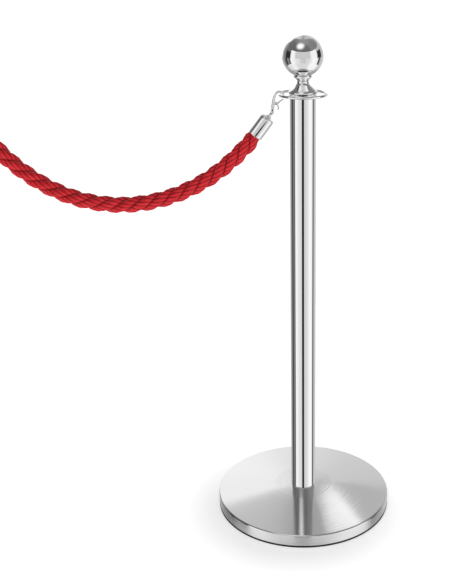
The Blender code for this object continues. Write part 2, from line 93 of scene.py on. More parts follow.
MOUTH = Vector((ROPE_ROUTE[0][0], 0, ROPE_ROUTE[0][1]))
RISE = Vector((math.cos(FERRULE_ANGLE), 0, math.sin(FERRULE_ANGLE)))
PIVOT = MOUTH + RISE * PIVOT_ALONG_FERRULE
ALONG_FERRULE = Matrix.Translation(MOUTH) @ Matrix.Rotation(math.radians(90) - FERRULE_ANGLE, 4, "Y")
UPRIGHT_TO_Y = Matrix.Rotation(math.radians(-90), 4, "X")
HALF_TURN = Matrix.Translation((2 * ROPE_MIDDLE, 0, 0)) @ Matrix.Rotation(math.pi, 4, "Z")
ENDS = {"near": Matrix.Identity(4), "far": HALF_TURN}

# Snap hook, in the XZ plane at the near end.
HOOK_PATH = [
    (-0.0588, 0.8572), (-0.0582, 0.8610), (-0.0573, 0.8670), (-0.0564, 0.8735),
    (-0.0553, 0.8795), (-0.0532, 0.8850), (-0.0500, 0.8894), (-0.0455, 0.8918),
    (-0.0410, 0.8901), (-0.0382, 0.8866), (-0.0372, 0.8825), (-0.0370, 0.8794),
]
HOOK_RADII = [
    0.0030, 0.0032, 0.0032, 0.0030, 0.0027, 0.0024, 0.0022, 0.0021, 0.0020, 0.0020, 0.0020, 0.0018,
]
GATE_PIVOT = (-0.0495, 0.8680)
GATE_PATH = [
    (-0.0385, 0.8767), (-0.0425, 0.8738), GATE_PIVOT, (-0.0480, 0.8630), (-0.0468, 0.8590),
    (-0.0492, 0.8562),
]
GATE_RADII = [0.0014, 0.0014, 0.0022, 0.0015, 0.0013, 0.0011]
GATE_SIDES = (-0.0013, 0.0002)
FORK_PATH = [(PIVOT.x, PIVOT.z), (-0.0588, 0.8560), (-0.0585, 0.8605)]
FORK_RADII = (0.0034, 0.0036, 0.0028)
FORK_SIDES = (0.0018, 0.0034)
LUG_PATH = [(-0.0568, 0.8690), GATE_PIVOT]
LUG_RADII = (0.0026, 0.0026)
LUG_SIDES = (0.0016, 0.0028)
RIVET_HOLE = 0.0015
GATE_PIN_HOLE = 0.0012
DRILL_REACH = 0.01
PLATE_EDGE = 0.00025

# Post: the cover's edge, crest and rough rim, the rope ring, and the finial on its stud.
SHEET_WALL = 0.0012
COVER_BORE = 0.0075
COVER_RIM_TOP = 0.0281
COVER_EDGE_RADIUS = 0.0035
COVER_EDGE_TURN = 84.3
COVER_CREST = (0.0670, 0.0395)
COVER_SHOULDER = (0.0580, 0.0403)
RIM_HEIGHTS = (0.0235, 0.0250)
RIM_ROUGHER = 0.22
FLOOR_RING_WIDTH = 0.0294
STUD_BORE = 0.0052
RING_HEIGHT = 0.8865
RING_ROD_RADIUS = 0.0027
SPOKES = 4
SPOKE_RADIUS = 0.0022
HUB_TOP = 0.8895
HUB_FLARE = 0.0281
BALL_CENTRE = 0.9600
BALL_WALL = 0.0016

SMOOTH_ANGLE = math.radians(32)
YARN_SMOOTH_ANGLE = math.radians(80)


# ---------------------------------------------------------------- camera

def make_camera():
    data = bpy.data.cameras.new("camera")
    data.sensor_width = 36
    data.lens = LENS
    data.shift_x, data.shift_y = CAMERA_SHIFT
    camera = bpy.data.objects.new("camera", data)
    bpy.context.scene.collection.objects.link(camera)
    tilt = Matrix.Rotation(math.pi / 2 - CAMERA_PITCH, 4, "X") @ Matrix.Rotation(CAMERA_ROLL, 4, "Z")
    camera.matrix_world = Matrix.Translation(CAMERA_PLACE) @ Matrix.Rotation(CAMERA_YAW, 4, "Z") @ tilt
    bpy.context.scene.camera = camera


# ---------------------------------------------------------------- shapes

def new_object(name, mesh, world=None):
    """An object of that mesh, its points already placed in the row frame, and shaded smooth."""
    made = bpy.data.objects.new(name, mesh)
    bpy.context.scene.collection.objects.link(made)
    if world is not None:
        mesh.transform(world)
    mesh.shade_smooth()
    mesh.set_sharp_from_angle(angle=SMOOTH_ANGLE)
    return made


def mesh_from(bm, name):
    bmesh.ops.recalc_face_normals(bm, faces=bm.faces)
    mesh = bpy.data.meshes.new(name)
    bm.to_mesh(mesh)
    bm.free()
    return mesh


def smooth_curve(points, per_span):
    """Points on a Catmull-Rom curve through a list of tuples of any size."""
    points = [Vector(p) for p in points]
    padded = [points[0] * 2 - points[1], *points, points[-1] * 2 - points[-2]]
    curve = []
    for a, b, c, d in zip(padded, padded[1:], padded[2:], padded[3:]):
        for k in range(per_span):
            t = k / per_span
            bend = (2 * a - 5 * b + 4 * c - d) * t**2 + (3 * b - a - 3 * c + d) * t**3
            curve.append((2 * b + (c - a) * t + bend) / 2)
    return [*curve, points[-1]]


def resampled(curve, spacing):
    """Points of a dense curve, evenly about that far apart."""
    lengths = [0.0]
    for a, b in zip(curve, curve[1:]):
        lengths.append(lengths[-1] + (b - a).length)
    count = round(lengths[-1] / spacing)
    picked, i = [], 1
    for k in range(count + 1):
        wanted = lengths[-1] * k / count
        while i < len(lengths) - 1 and lengths[i] < wanted:
            i += 1
        share = (wanted - lengths[i - 1]) / (lengths[i] - lengths[i - 1])
        picked.append(curve[i - 1].lerp(curve[i], share))
    return picked


def arc(centre, radius, start, end, steps):
    """Points on an arc, its angles in degrees from the +radius direction towards +height."""
    turns = [math.radians(start + (end - start) * k / steps) for k in range(steps + 1)]
    return [(centre[0] + radius * math.cos(a), centre[1] + radius * math.sin(a)) for a in turns]


def turned(name, outline, segments=128):
    """A surface of revolution about Z of a closed (radius, height) outline."""
    bm = bmesh.new()
    rings = []
    for radius, height in outline:
        if radius < 1e-6:
            rings.append([bm.verts.new((0, 0, height))] * segments)
            continue
        angles = [2 * math.pi * k / segments for k in range(segments)]
        rings.append([bm.verts.new((radius * math.cos(a), radius * math.sin(a), height)) for a in angles])
    for ring, other in zip(rings, rings[1:] + rings[:1]):
        for i in range(segments):
            j = (i + 1) % segments
            corners = list(dict.fromkeys([ring[i], ring[j], other[j], other[i]]))
            if len(corners) > 2:
                bm.faces.new(corners)
    return mesh_from(bm, name)


def side_of(points, i):
    """The unit normal, in the plane, of a line of 2-D points at one of them."""
    along = points[min(i + 1, len(points) - 1)] - points[max(i - 1, 0)]
    return Vector((-along.y, along.x)).normalized()


def rounded_bar(name, path, radii):
    """A bar of round section with domed ends along a path of (x, z) points in the XZ plane."""
    sides, end_steps, dome = 24, 5, 0.6
    points = [Vector(p) for p in path]
    sections = [(p, side_of(points, i), r) for i, (p, r) in enumerate(zip(points, radii))]
    for at, outward in ((0, points[0] - points[1]), (-1, points[-1] - points[-2])):
        centre, normal, radius = sections[at]
        for k in range(1, end_steps + 1):
            turn = math.pi / 2 * k / (end_steps + 0.6)
            shifted = centre + outward.normalized() * radius * dome * math.sin(turn)
            section = (shifted, normal, radius * math.cos(turn))
            sections.insert(0 if at == 0 else len(sections), section)
    bm = bmesh.new()
    rings = []
    for centre, normal, radius in sections:
        turns = [2 * math.pi * k / sides for k in range(sides)]
        spots = [(centre + normal * radius * math.cos(t), radius * math.sin(t)) for t in turns]
        rings.append([bm.verts.new((p.x, y, p.y)) for p, y in spots])
    for ring, other in zip(rings, rings[1:]):
        for i in range(sides):
            j = (i + 1) % sides
            bm.faces.new([ring[i], ring[j], other[j], other[i]])
    bm.faces.new(rings[0])
    bm.faces.new(rings[-1])
    return mesh_from(bm, name)


def plate(name, path, radii, low, high, cap_steps=10):
    """A flat plate from y=low to y=high, as wide as the radii along a path, round at its ends and edges."""
    points = [Vector(p) for p in path]
    left = [p + side_of(points, i) * r for i, (p, r) in enumerate(zip(points, radii))]
    right = [p - side_of(points, i) * r for i, (p, r) in enumerate(zip(points, radii))]

    def cap(centre, start):
        """The points of a half turn about an end, from the point that is given."""
        turns = [-math.pi * k / cap_steps for k in range(1, cap_steps)]
        return [centre + Matrix.Rotation(a, 2) @ (start - centre) for a in turns]

    outline = left + cap(points[-1], left[-1]) + right[::-1] + cap(points[0], right[0])
    bm = bmesh.new()
    face = bm.faces.new([bm.verts.new((p.x, low, p.y)) for p in outline])
    grown = bmesh.ops.extrude_face_region(bm, geom=[face])["geom"]
    moved = [v for v in grown if isinstance(v, bmesh.types.BMVert)]
    bmesh.ops.translate(bm, verts=moved, vec=(0, high - low, 0))
    rims = [e for e in bm.edges if abs(e.verts[0].co.y - e.verts[1].co.y) < 1e-7]
    bmesh.ops.bevel(bm, geom=rims, offset=PLATE_EDGE, segments=2, affect="EDGES", clamp_overlap=True)
    return mesh_from(bm, name)


def flattened_bar(name, path, radii, low, high):
    """A rounded bar squashed along Y, so that it lies from y=low to y=high."""
    mesh = rounded_bar(name, path, radii)
    squash = Matrix.Scale((high - low) / 2 / max(radii), 4, (0, 1, 0))
    mesh.transform(Matrix.Translation((0, (low + high) / 2, 0)) @ squash)
    return mesh


def cylinder(name, radius, low, high, segments=32):
    return turned(name, [(0, low), (radius, low), (radius, high), (0, high)], segments)


def drill(centre, radius):
    """A cutter along Y through the (x, z) centre."""
    mesh = cylinder("drill", radius, -DRILL_REACH, DRILL_REACH)
    mesh.transform(Matrix.Translation((centre[0], 0, centre[1])) @ UPRIGHT_TO_Y)
    return mesh


def combined(mesh, others, operation):
    """The mesh joined to, or cut by, the others with Boolean modifiers that are applied."""
    body = bpy.data.objects.new(mesh.name, mesh)
    bpy.context.scene.collection.objects.link(body)
    helpers = []
    for other in others:
        helper = bpy.data.objects.new("helper", other)
        bpy.context.scene.collection.objects.link(helper)
        change = body.modifiers.new("change", "BOOLEAN")
        change.operation = operation
        change.object = helper
        helpers.append(helper)
    bpy.context.view_layer.update()
    made = bpy.data.meshes.new_from_object(body.evaluated_get(bpy.context.evaluated_depsgraph_get()))
    made.name = mesh.name
    for thing in [body, *helpers]:
        bpy.data.objects.remove(thing)
    return made


def stands_for(made, node, body, material):
    """Makes a fine piece stand for its CAD node, and returns it."""
    made.data.materials.clear()
    made.data.materials.append(material)
    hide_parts(node)
    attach(made, body)
    return made


# ---------------------------------------------------------------- materials

class Recipe:
    """A material's node tree, with short calls for the nodes that it is made of."""

    def __init__(self, name):
        self.material = bpy.data.materials.new(name)
        self.material.use_nodes = True
        self.tree = self.material.node_tree
        self.shader = self.tree.nodes["Principled BSDF"]

    def node(self, kind, **settings):
        made = self.tree.nodes.new(kind)
        for key, value in settings.items():
            setattr(made, key, value)
        return made

    def link(self, source, target):
        self.tree.links.new(source, target)

    def set(self, **values):
        for key, value in values.items():
            self.shader.inputs[key.replace("_", " ")].default_value = value

    def math(self, operation, first, second=None):
        made = self.node("ShaderNodeMath", operation=operation)
        for socket, value in zip(made.inputs, (first, second)):
            if isinstance(value, (int, float)):
                socket.default_value = value
            elif value is not None:
                self.link(value, socket)
        return made.outputs[0]

    def noise(self, coordinates, scale, detail, stretch=(1, 1, 1)):
        mapping = self.node("ShaderNodeMapping")
        mapping.inputs["Scale"].default_value = stretch
        self.link(coordinates, mapping.inputs["Vector"])
        made = self.node("ShaderNodeTexNoise")
        made.inputs["Scale"].default_value = scale
        made.inputs["Detail"].default_value = detail
        self.link(mapping.outputs[0], made.inputs["Vector"])
        return made.outputs["Fac"]

    def rings(self, radius, scale, detail):
        """Noise that changes only with the radius, so that it lies in circles."""
        made = self.node("ShaderNodeTexNoise", noise_dimensions="1D")
        made.inputs["Scale"].default_value = scale
        made.inputs["Detail"].default_value = detail
        self.link(radius, made.inputs["W"])
        return made.outputs["Fac"]

    def spread(self, factor, low, high, start=0.3, end=0.7):
        """The factor's range from start to end, spread over low to high."""
        made = self.node("ShaderNodeMapRange")
        for key, value in (("From Min", start), ("From Max", end), ("To Min", low), ("To Max", high)):
            made.inputs[key].default_value = value
        self.link(factor, made.inputs["Value"])
        return made.outputs["Result"]

    def blend(self, factor, first, second):
        """A colour between two, each a socket or three numbers."""
        made = self.node("ShaderNodeMix", data_type="RGBA")
        self.link(factor, made.inputs["Factor"])
        for socket, value in ((made.inputs["A"], first), (made.inputs["B"], second)):
            # A Mix node keeps its colour sockets behind the float and vector ones.
            named = [s for s in made.inputs if s.name == socket.name and s.type == "RGBA"][0]
            if isinstance(value, tuple):
                named.default_value = (*value, 1.0)
            else:
                self.link(value, named)
        return [s for s in made.outputs if s.type == "RGBA"][0]

    def bump(self, height, distance, strength):
        made = self.node("ShaderNodeBump")
        made.inputs["Strength"].default_value = strength
        made.inputs["Distance"].default_value = distance
        self.link(height, made.inputs["Height"])
        return made.outputs["Normal"]

    def coordinates(self, which="Object"):
        return self.node("ShaderNodeTexCoord").outputs[which]


def polished_steel():
    """Mirror-polished plate: faint polishing haze, hairlines and a slight waviness."""
    made = Recipe("polished_steel")
    place = made.coordinates()
    made.set(Base_Color=(0.93, 0.93, 0.935, 1), Metallic=1.0)
    haze = made.noise(place, 60, 4, (1, 1, 0.25))
    made.link(made.spread(haze, 0.025, 0.06), made.shader.inputs["Roughness"])
    made.link(made.bump(made.noise(place, 35, 1), 0.00002, 0.3), made.shader.inputs["Normal"])
    return made.material


def satin_steel():
    """Tumbled and plated small castings: bright, with soft reflections."""
    made = Recipe("satin_steel")
    cloud = made.noise(made.coordinates(), 250, 3)
    made.set(Base_Color=(0.93, 0.93, 0.935, 1), Metallic=1.0)
    made.link(made.spread(cloud, 0.09, 0.14), made.shader.inputs["Roughness"])
    made.link(made.bump(cloud, 0.00005, 0.5), made.shader.inputs["Normal"])
    return made.material


def brushed_steel():
    """The spun cover: circular brushing draws every reflection out along the radius; its rim is rougher, and
    painted a brighter steel colour that lightens it.
    """
    made = Recipe("brushed_steel")
    split = made.node("ShaderNodeSeparateXYZ")
    made.link(made.coordinates(), split.inputs[0])
    squares = [made.math("POWER", split.outputs[i], 2) for i in range(2)]
    radius = made.math("SQRT", made.math("ADD", *squares))
    lines = made.rings(radius, 1400, 4)
    made.set(Metallic=1.0, Anisotropic=1.0, Anisotropic_Rotation=0.25)
    colour = made.blend(made.spread(lines, 0, 1), (0.78, 0.78, 0.785), (0.84, 0.84, 0.845))
    rim = made.spread(split.outputs[2], 1, 0, *RIM_HEIGHTS)
    # Painted light: the rim's steel is a brighter colour than the top's, which lightens the rim.
    made.link(made.blend(rim, colour, (0.95, 0.95, 0.955)), made.shader.inputs["Base Color"])
    rougher = made.math("MULTIPLY", rim, RIM_ROUGHER)
    made.link(made.math("ADD", made.spread(lines, 0.11, 0.14), rougher), made.shader.inputs["Roughness"])
    turned_marks = made.rings(radius, 260, 2)
    made.link(made.bump(turned_marks, 0.0003, 0.5), made.shader.inputs["Normal"])
    tangent = made.node("ShaderNodeTangent", direction_type="RADIAL", axis="Z")
    made.link(tangent.outputs[0], made.shader.inputs["Tangent"])
    return made.material


def rubber():
    made = Recipe("floor_rubber")
    grain = made.noise(made.coordinates(), 900, 3)
    made.set(Specular_IOR_Level=0.2)
    made.link(made.blend(grain, (0.004, 0.004, 0.004), (0.01, 0.01, 0.01)), made.shader.inputs["Base Color"])
    made.link(made.spread(grain, 0.5, 0.7), made.shader.inputs["Roughness"])
    made.link(made.bump(grain, 0.0001, 0.5), made.shader.inputs["Normal"])
    return made.material


def plated_steel():
    made = Recipe("plated_steel")
    cloud = made.noise(made.coordinates(), 300, 4)
    made.set(Metallic=1.0)
    made.link(made.blend(cloud, (0.48, 0.48, 0.50), (0.60, 0.60, 0.60)), made.shader.inputs["Base Color"])
    made.link(made.spread(cloud, 0.25, 0.45), made.shader.inputs["Roughness"])
    return made.material


def cast_iron():
    made = Recipe("weight_iron")
    grain = made.noise(made.coordinates(), 350, 5)
    made.set(Metallic=0.4)
    made.link(made.blend(grain, (0.035, 0.035, 0.037), (0.08, 0.08, 0.08)), made.shader.inputs["Base Color"])
    made.link(made.spread(grain, 0.55, 0.8), made.shader.inputs["Roughness"])
    made.link(made.bump(grain, 0.0006, 0.8), made.shader.inputs["Normal"])
    return made.material


def rope_fibre():
    """Red lustrous yarn: fine filaments along each yarn, and painted shade down in the grooves and where the
    strands press together.
    """
    made = Recipe("rope_fibre")
    along = made.coordinates("UV")
    fibres = made.noise(along, 1.0, 2, (60, 900, 1))
    tone = made.noise(along, 1.0, 2, (25, 60, 1))
    painted_groove_shade = made.node("ShaderNodeAttribute", attribute_name="crown").outputs["Fac"]
    bright = made.blend(made.spread(fibres, 0, 1), (0.84, 0.010, 0.020), (1.0, 0.045, 0.065))
    varied = made.blend(made.spread(tone, 0, 0.5), bright, (0.58, 0.003, 0.008))
    # Painted shade: a dark red where the crown attribute is low, in the grooves between yarns and on the
    # strands' inner sides.
    colour = made.blend(made.spread(painted_groove_shade, 0, 1, 0.0, 0.75), (0.24, 0.0, 0.002), varied)
    made.link(colour, made.shader.inputs["Base Color"])
    made.set(Roughness=0.5, Specular_IOR_Level=0.25)
    made.link(made.bump(fibres, 0.0004, 0.6), made.shader.inputs["Normal"])
    return made.material


# ---------------------------------------------------------------- rope

def rope_points():
    """The middle line of the rope, every ROPE_STEP."""
    curve = smooth_curve([(x, 0, z) for x, z in ROPE_ROUTE], 24)
    start, end = curve[0] - RISE * 0.0003, curve[-1] + HALF_TURN.to_3x3() @ RISE * -0.0003
    return resampled([start, *curve[1:-1], end], ROPE_STEP)


def strand(bm, uv_layer, painted_shade_layer, points, first_turn):
    """One strand: a lobed tube that winds round the rope's line while its yarns wind back in it."""
    length = ROPE_STEP * (len(points) - 1)
    rings = []
    for i, point in enumerate(points):
        along = (points[min(i + 1, len(points) - 1)] - points[max(i - 1, 0)]).normalized()
        across = Vector((0, -1, 0))
        upward = across.cross(along).normalized()
        travelled = ROPE_STEP * i
        to_end = min(travelled, length - travelled)
        share = min(1.0, to_end / NECK_LENGTH)
        scale = NECK_SCALE + (1 - NECK_SCALE) * share * share * (3 - 2 * share)
        turn = first_turn + 2 * math.pi * travelled / LAY_LENGTH
        outward = across * math.cos(turn) + upward * math.sin(turn)
        sideways = upward * math.cos(turn) - across * math.sin(turn)
        centre = point + outward * STRAND_OFFSET * scale
        ring = []
        for k in range(STRAND_SIDES):
            angle = 2 * math.pi * k / STRAND_SIDES
            lobe = abs(math.cos(YARNS * (angle - YARN_TWIST * travelled) / 2))
            crown = math.sqrt(lobe)
            radius = (STRAND_RADIUS - YARN_GROOVE * (1 - crown)) * scale
            # The crown attribute is the mask for the painted shade: low in the grooves between yarns and on
            # the side that faces the other strands.
            open_side = min(1.0, max(0.0, (math.cos(angle) + 0.2) / 0.5))
            spot = centre + (outward * math.cos(angle) + sideways * math.sin(angle)) * radius
            vert = bm.verts.new(spot)
            vert[painted_shade_layer] = lobe * open_side
            ring.append((vert, travelled, angle - YARN_TWIST * travelled))
        rings.append(ring)
    for ring, other in zip(rings, rings[1:]):
        for k in range(STRAND_SIDES):
            j = (k + 1) % STRAND_SIDES
            corners = [ring[k], ring[j], other[j], other[k]]
            face = bm.faces.new([c[0] for c in corners])
            for loop, (_, travelled, angle) in zip(face.loops, corners):
                wrapped = angle + (2 * math.pi if j == 0 and loop.vert in (ring[j][0], other[j][0]) else 0)
                loop[uv_layer].uv = (travelled, wrapped * STRAND_RADIUS)
    for ring in (rings[0], rings[-1]):
        bm.faces.new([c[0] for c in ring])


def make_rope(material):
    points = rope_points()
    bm = bmesh.new()
    uv_layer = bm.loops.layers.uv.new("along")
    painted_shade_layer = bm.verts.layers.float.new("crown")
    for k in range(STRANDS):
        strand(bm, uv_layer, painted_shade_layer, points, 2 * math.pi * k / STRANDS)
    made = new_object("twisted_rope", mesh_from(bm, "twisted_rope"))
    made.data.set_sharp_from_angle(angle=YARN_SMOOTH_ANGLE)
    made.visible_glossy = False
    stands_for(made, "rope", "rope", material)
    return made, points


# ---------------------------------------------------------------- post

def make_post(polished, brushed, rubber_finish):
    low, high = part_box("post_tube")
    radius, wall, chamfer = high.x, SHEET_WALL, 0.0004
    outline = [
        (radius - wall, low.z), (radius - chamfer, low.z), (radius, low.z + chamfer),
        (radius, high.z - chamfer), (radius - chamfer, high.z), (radius - wall, high.z),
    ]
    tube = new_object("polished_tube", turned("polished_tube", outline, 192))
    stands_for(tube, "post_tube", "post", polished)

    low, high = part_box("base_cover")
    radius = high.x
    edge_radius = COVER_EDGE_RADIUS
    edge = (radius - edge_radius, COVER_RIM_TOP - edge_radius)
    (crest_radius, crest), (shoulder_radius, shoulder) = COVER_CREST, COVER_SHOULDER
    outer = [(radius - 0.0014, low.z), (radius - 0.0011, low.z + 0.0006)]
    outer += arc(edge, edge_radius, 0, COVER_EDGE_TURN, 12)
    outer += [(crest_radius + 0.0015, crest - 0.00017), (crest_radius - 0.0015, crest + 0.00009)]
    outer += [COVER_SHOULDER, (COVER_BORE, high.z)]
    inner = [(COVER_BORE, high.z - wall), (shoulder_radius, shoulder - wall), (crest_radius, crest - wall)]
    inner += arc(edge, edge_radius - wall, COVER_EDGE_TURN, 0, 6) + [(radius - wall, low.z)]
    cover = new_object("spun_cover", turned("spun_cover", outer + inner, 256))
    cover.visible_glossy = False
    stands_for(cover, "base_cover", "post", brushed)

    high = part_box("floor_ring")[1]
    inside, outside = high.x - FLOOR_RING_WIDTH, high.x
    outline = [(inside, 0), (outside - 0.0005, 0), (outside, 0.0006), (outside, high.z), (inside, high.z)]
    ring = new_object("rubber_ring", turned("rubber_ring", outline, 192))
    ring.visible_glossy = False
    stands_for(ring, "floor_ring", "post", rubber_finish)


def make_rope_ring(polished):
    """The ring that the hooks hang on: a hub that flares under the bell, four spokes and a round rod."""
    ring_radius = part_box("rope_ring")[1].x - RING_ROD_RADIUS
    tube_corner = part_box("post_tube")[1]
    hub_radius, hub_low = tube_corner.x, tube_corner.z + 0.0003
    soft = 0.0008
    hub = [(STUD_BORE, hub_low), (hub_radius - soft, hub_low)]
    hub += arc((hub_radius - soft, hub_low + soft), soft, -60, 0, 3)
    hub += [(hub_radius, 0.8860), (HUB_FLARE, HUB_TOP - 0.0004), (HUB_FLARE - 0.0002, HUB_TOP)]
    hub.append((STUD_BORE, HUB_TOP))
    added = [turned("rod", arc((ring_radius, RING_HEIGHT), RING_ROD_RADIUS, 0, 360, 20)[:-1], 160)]
    for k in range(SPOKES):
        spoke = cylinder("spoke", SPOKE_RADIUS, hub_radius - 0.004, ring_radius, 20)
        spoke.transform(Matrix.Rotation(math.radians(90), 4, "Y"))
        spoke.transform(Matrix.Rotation(math.radians(45 + 360 / SPOKES * k), 4, "Z"))
        spoke.transform(Matrix.Translation((0, 0, RING_HEIGHT)))
        added.append(spoke)
    whole = combined(turned("polished_ring", hub, 128), added, "UNION")
    stands_for(new_object("polished_ring", whole), "rope_ring", "post", polished)


def make_finial(polished):
    """The bell, the bead and the hollow ball, which is returned."""
    bottom, neck_top = (corner.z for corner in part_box("finial_bell"))
    flare = [
        (0.0283, 0.8906), (0.0276, 0.8926), (0.0252, 0.8952), (0.0216, 0.8982), (0.0182, 0.9010),
        (0.0154, 0.9036), (0.0134, 0.9060), (0.0120, 0.9084), (0.0115, 0.9106), (0.0115, neck_top),
    ]
    sides = [tuple(p) for p in smooth_curve(flare, 5)]
    outline = [
        (STUD_BORE, bottom), (0.0278, bottom), (0.0281, bottom + 0.0003), *sides, (STUD_BORE, neck_top),
    ]
    bell = new_object("polished_bell", turned("polished_bell", outline))
    stands_for(bell, "finial_bell", "post", polished)

    low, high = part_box("finial_ball")
    radius = max((high.x - low.x) / 2, high.z - BALL_CENTRE)
    centre = high.z - radius
    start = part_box("finial_collar")[0].z
    bead = [
        (0.0114, start), (0.0126, 0.9144), (0.0146, 0.9164), (0.0166, 0.9184), (0.0180, 0.9206),
        (0.0183, 0.9222), (0.0176, 0.9234),
    ]
    cup = [(r, centre - math.sqrt(radius**2 - r**2) - 0.0004) for r in (0.0165, 0.0110, STUD_BORE)]
    outline = [(STUD_BORE, start), *[tuple(p) for p in smooth_curve(bead, 5)], *cup]
    collar = new_object("polished_collar", turned("polished_collar", outline))
    stands_for(collar, "finial_collar", "post", polished)

    mouth = math.degrees(math.asin(STUD_BORE / radius)) - 90
    outer = arc((0, centre), radius, mouth, 90, 96)
    inner = arc((0, centre), radius - BALL_WALL, 90, mouth, 24)
    shell = [*outer[:-1], (0, outer[-1][1]), (0, inner[0][1]), *inner[1:]]
    ball = new_object("polished_ball", turned("polished_ball", shell, 160))
    return stands_for(ball, "finial_ball", "post", polished)


# ---------------------------------------------------------------- rope ends

def ferrule_mesh():
    radius, wall = FERRULE_RADIUS, FERRULE_WALL
    nose = [
        (radius, 0.0385), (0.0145, 0.0402), (0.0138, 0.0417), (0.0122, 0.0429), (0.0095, 0.0439),
        (0.0065, 0.0449), (0.0046, 0.0464), (0.0038, FERRULE_LENGTH),
    ]
    bore = 0.0032
    inside = [(bore, FERRULE_LENGTH), (bore, 0.0405), (0.0090, 0.0402), (0.0120, 0.0385)]
    inside += [(radius - wall, 0.0350), (radius - wall, 0)]
    outer = [(radius - 0.0003, 0), (radius, 0.0004), (radius, 0.0200)]
    outer += [tuple(p) for p in smooth_curve(nose, 5)]
    shell = turned("ferrule", outer + inside, 96)
    hole = cylinder("hole", GRUB_SCREW_HOLE, radius - 0.005, radius + 0.005)
    hole.transform(Matrix.Translation((0, 0, GRUB_SCREW_HEIGHT)) @ UPRIGHT_TO_Y)
    return combined(shell, [hole], "DIFFERENCE")


def grub_screw_mesh():
    """A socket grub screw, flush in the ferrule's wall."""
    radius, foot, top, chamfer = GRUB_SCREW_RADIUS, 0.0100, FERRULE_RADIUS - 0.0002, 0.0002
    outline = [(0, foot), (radius, foot), (radius, top - chamfer), (radius - chamfer, top), (0, top)]
    screw = turned("screw", outline, 32)
    socket = cylinder("socket", 0.0008, top - 0.0014, top + 0.001, 6)
    screw = combined(screw, [socket], "DIFFERENCE")
    screw.transform(Matrix.Translation((0, 0, GRUB_SCREW_HEIGHT)) @ UPRIGHT_TO_Y)
    return screw


def eye_stud_mesh():
    axis = Matrix.Rotation(math.radians(90) - FERRULE_ANGLE, 4, "Y")
    start, shoulder = 0.0320, 0.0044
    stud = cylinder("eye_stud", 0.0028, start - PIVOT_ALONG_FERRULE, -shoulder)
    stud.transform(Matrix.Translation(PIVOT) @ axis)
    root = PIVOT - RISE * (shoulder + 0.0010)
    tongue = [(root.x, root.z), (PIVOT.x, PIVOT.z)]
    eye = plate("eye", tongue, (0.0022, 0.0036), -0.0015, 0.0015, 20)
    hole = drill((PIVOT.x, PIVOT.z), RIVET_HOLE)
    return combined(combined(stud, [eye], "UNION"), [hole], "DIFFERENCE")


def hook_mesh():
    hinge = (PIVOT.x, PIVOT.z)
    path = smooth_curve([(*p, r) for p, r in zip(HOOK_PATH, HOOK_RADII)], 6)
    bar = rounded_bar("hook", [(p[0], p[1]) for p in path], [p[2] for p in path])
    joined = []
    for sign in (-1, 1):
        low, high = sorted(sign * y for y in FORK_SIDES)
        joined.append(flattened_bar("fork", FORK_PATH, FORK_RADII, low, high))
        low, high = sorted(sign * y for y in LUG_SIDES)
        joined.append(flattened_bar("lug", LUG_PATH, LUG_RADII, low, high))
    body = combined(bar, joined, "UNION")
    slot = [(GATE_PIVOT[0], GATE_PIVOT[1] - 0.008), (GATE_PIVOT[0], GATE_PIVOT[1] + 0.006)]
    cleft = [hinge, (hinge[0] + 0.0002, hinge[1] + 0.002)]
    cuts = [
        drill(hinge, RIVET_HOLE),
        drill(GATE_PIVOT, GATE_PIN_HOLE),
        plate("slot", slot, (0.0032, 0.0032), -LUG_SIDES[0], LUG_SIDES[0]),
        plate("cleft", cleft, (0.0041, 0.0041), -FORK_SIDES[0], FORK_SIDES[0]),
    ]
    return combined(body, cuts, "DIFFERENCE")


def gate_mesh():
    path = smooth_curve([(*p, r) for p, r in zip(GATE_PATH, GATE_RADII)], 4)
    gate = flattened_bar("gate", [(p[0], p[1]) for p in path], [p[2] for p in path], *GATE_SIDES)
    return combined(gate, [drill(GATE_PIVOT, GATE_PIN_HOLE)], "DIFFERENCE")


def rivet_mesh():
    """A rivet with a domed head on each side of the fork."""
    head, rise, radius = 0.0037, 0.0008, 0.0024
    dome = [(radius, head), (radius, head + 0.0002), (0.0019, head + 0.0006), (0.0010, head + rise)]
    upper = [(0.0012, 0), (0.0012, head), *dome, (0, head + rise)]
    outline = [(r, -z) for r, z in reversed(upper[1:])] + upper
    mesh = turned("rivet", outline, 32)
    mesh.transform(Matrix.Translation(PIVOT) @ UPRIGHT_TO_Y)
    return mesh


def make_rope_ends(polished, satin, plated, fibre):
    meshes = {
        "ferrule": ferrule_mesh(),
        "grub_screw": grub_screw_mesh(),
        "eye_stud": eye_stud_mesh(),
        "hook": hook_mesh(),
        "gate": gate_mesh(),
        "hook_rivet": rivet_mesh(),
    }
    on_ferrule = ("ferrule", "grub_screw")
    finishes = {"ferrule": polished, "grub_screw": plated}
    for end, world in ENDS.items():
        bodies = {"hook": f"{end}_hook", "hook_rivet": f"{end}_hook", "gate": f"{end}_gate"}
        for kind, mesh in meshes.items():
            place = world @ ALONG_FERRULE if kind in on_ferrule else world
            made = new_object(f"{end}_fine_{kind}", mesh.copy(), place)
            made.visible_glossy = False
            stands_for(made, f"{end}_{kind}", bodies.get(kind, "rope"), finishes.get(kind, satin))
        repaint(f"{end}_rope_end", fibre)
        for kind in ("stud_nut", "gate_pin", "gate_spring"):
            repaint(f"{end}_{kind}", plated)


def repaint(node, material):
    """Gives a CAD node its finish. These lie inside other pieces, so the metal doesn't mirror them."""
    nodes[node].visible_glossy = False
    mesh = nodes[node].data
    mesh.materials.clear()
    mesh.materials.append(material)


# ---------------------------------------------------------------- studio

